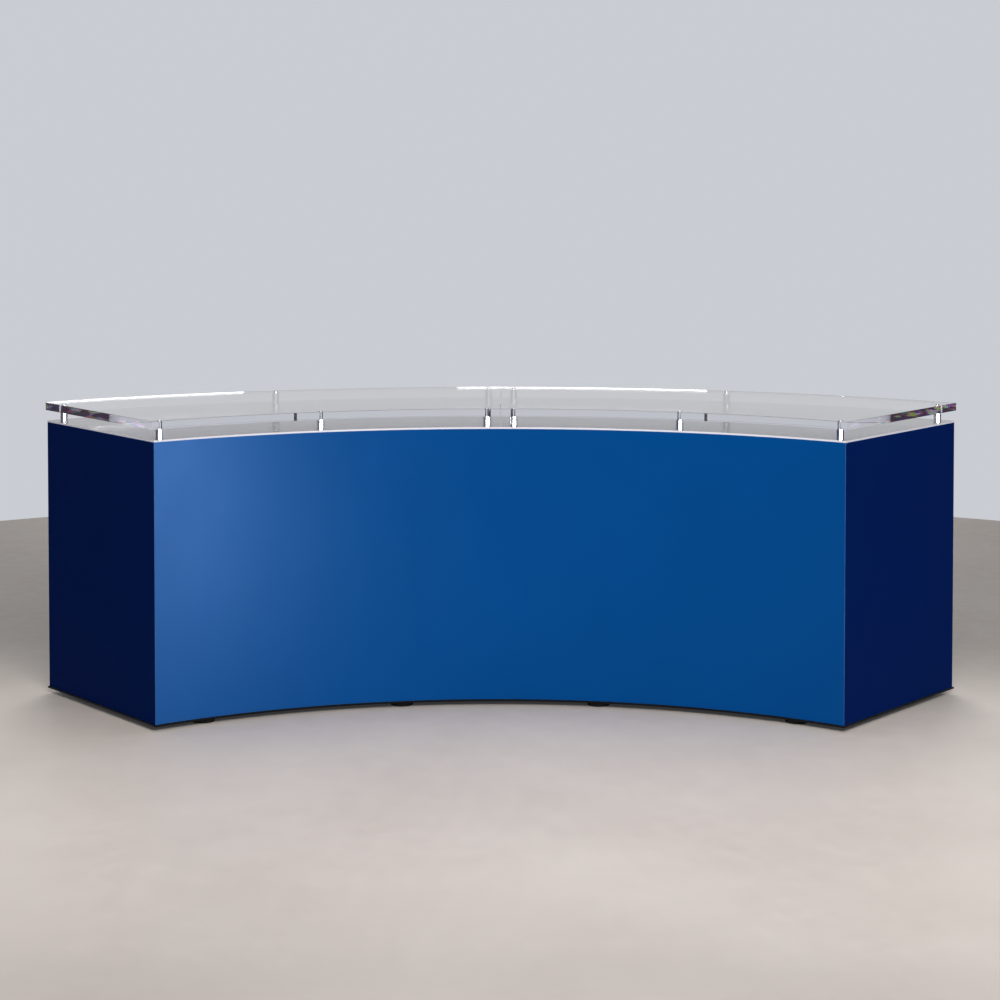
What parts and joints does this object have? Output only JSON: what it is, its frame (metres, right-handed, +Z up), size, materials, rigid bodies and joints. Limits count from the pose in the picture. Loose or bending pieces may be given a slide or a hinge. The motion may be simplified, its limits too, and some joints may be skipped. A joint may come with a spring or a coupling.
{
  "type": "checkout counter",
  "caption": "Curved checkout counter with a concave blue front, flat ends, a raised clear acrylic top on metal standoffs, open shelves and cash drawers.",
  "frame": {"origin": "on the floor, under the middle of the bounding box", "axes": "+Z up; -Y towards the customer, who stands in the concave curve; +Y towards the staff; +X to the customer's right, along the counter's length"},
  "size_m": [3.3164, 1.1912, 1.0703],
  "materials": {
    "blue_laminate": "satin blue laminate on bent board",
    "deck_laminate": "pale satin sheet",
    "carcass_laminate": "pale melamine-faced board",
    "drawer_birch": "lacquered birch ply",
    "clear_acrylic": "clear cast acrylic with polished edges",
    "black_plate": "black plinth plate",
    "black_rubber": "matt black",
    "polished_steel": "polished stainless steel",
    "zinc_steel": "zinc-plated sheet"
  },
  "bodies": {
    "counter": {"base_plate": "black_plate", "bottom_board": "carcass_laminate", "sub_top": "carcass_laminate", "deck_sheet": "deck_laminate", "front_panel": "blue_laminate", "end_panel_left": "blue_laminate", "acrylic_top_left": "clear_acrylic", "shelf_left_inner": "carcass_laminate", "shelf_left_outer": "carcass_laminate", "end_panel_right": "blue_laminate", "acrylic_top_right": "clear_acrylic", "shelf_right_inner": "carcass_laminate", "shelf_right_outer": "carcass_laminate", "divider_left": "carcass_laminate", "divider_centre": "carcass_laminate", "divider_right": "carcass_laminate", "standoff_front_left_end": "polished_steel", "cap_screw_front_left_end": "polished_steel", "standoff_front_left_mid": "polished_steel", "cap_screw_front_left_mid": "polished_steel", "standoff_front_left_seam": "polished_steel", "cap_screw_front_left_seam": "polished_steel", "standoff_front_right_end": "polished_steel", "cap_screw_front_right_end": "polished_steel", "standoff_front_right_mid": "polished_steel", "cap_screw_front_right_mid": "polished_steel", "standoff_front_right_seam": "polished_steel", "cap_screw_front_right_seam": "polished_steel", "standoff_back_left_end": "polished_steel", "cap_screw_back_left_end": "polished_steel", "standoff_back_left_mid": "polished_steel", "cap_screw_back_left_mid": "polished_steel", "standoff_back_left_seam": "polished_steel", "cap_screw_back_left_seam": "polished_steel", "standoff_back_right_end": "polished_steel", "cap_screw_back_right_end": "polished_steel", "standoff_back_right_mid": "polished_steel", "cap_screw_back_right_mid": "polished_steel", "standoff_back_right_seam": "polished_steel", "cap_screw_back_right_seam": "polished_steel", "drawer_hanger_left_left": "zinc_steel", "drawer_hanger_left_right": "zinc_steel", "drawer_hanger_right_left": "zinc_steel", "drawer_hanger_right_right": "zinc_steel"},
    "levelling_foot_front_left_outer": {"foot_front_left_outer": "black_rubber"},
    "levelling_foot_front_left_inner": {"foot_front_left_inner": "black_rubber"},
    "levelling_foot_front_right_outer": {"foot_front_right_outer": "black_rubber"},
    "levelling_foot_front_right_inner": {"foot_front_right_inner": "black_rubber"},
    "levelling_foot_back_left_outer": {"foot_back_left_outer": "black_rubber"},
    "levelling_foot_back_left_inner": {"foot_back_left_inner": "black_rubber"},
    "levelling_foot_back_right_outer": {"foot_back_right_outer": "black_rubber"},
    "levelling_foot_back_right_inner": {"foot_back_right_inner": "black_rubber"},
    "drawer_left": {"drawer_tray_left": "drawer_birch", "drawer_front_left": "carcass_laminate", "drawer_pull_left": "polished_steel"},
    "drawer_right": {"drawer_tray_right": "drawer_birch", "drawer_front_right": "carcass_laminate", "drawer_pull_right": "polished_steel"}
  },
  "joints": [
    {"name": "level_front_left_outer", "type": "slide", "parent": "counter", "child": "levelling_foot_front_left_outer", "axis": [0, 0, -1], "range_m": [0, 0.012]},
    {"name": "level_front_left_inner", "type": "slide", "parent": "counter", "child": "levelling_foot_front_left_inner", "axis": [0, 0, -1], "range_m": [0, 0.012]},
    {"name": "level_front_right_outer", "type": "slide", "parent": "counter", "child": "levelling_foot_front_right_outer", "axis": [0, 0, -1], "range_m": [0, 0.012]},
    {"name": "level_front_right_inner", "type": "slide", "parent": "counter", "child": "levelling_foot_front_right_inner", "axis": [0, 0, -1], "range_m": [0, 0.012]},
    {"name": "level_back_left_outer", "type": "slide", "parent": "counter", "child": "levelling_foot_back_left_outer", "axis": [0, 0, -1], "range_m": [0, 0.012]},
    {"name": "level_back_left_inner", "type": "slide", "parent": "counter", "child": "levelling_foot_back_left_inner", "axis": [0, 0, -1], "range_m": [0, 0.012]},
    {"name": "level_back_right_outer", "type": "slide", "parent": "counter", "child": "levelling_foot_back_right_outer", "axis": [0, 0, -1], "range_m": [0, 0.012]},
    {"name": "level_back_right_inner", "type": "slide", "parent": "counter", "child": "levelling_foot_back_right_inner", "axis": [0, 0, -1], "range_m": [0, 0.012]},
    {"name": "drawer_left_slide", "type": "slide", "parent": "counter", "child": "drawer_left", "axis": [-0.1644, 0.9864, 0], "range_m": [0, 0.36]},
    {"name": "drawer_right_slide", "type": "slide", "parent": "counter", "child": "drawer_right", "axis": [0.1644, 0.9864, 0], "range_m": [0, 0.36]}
  ]
}
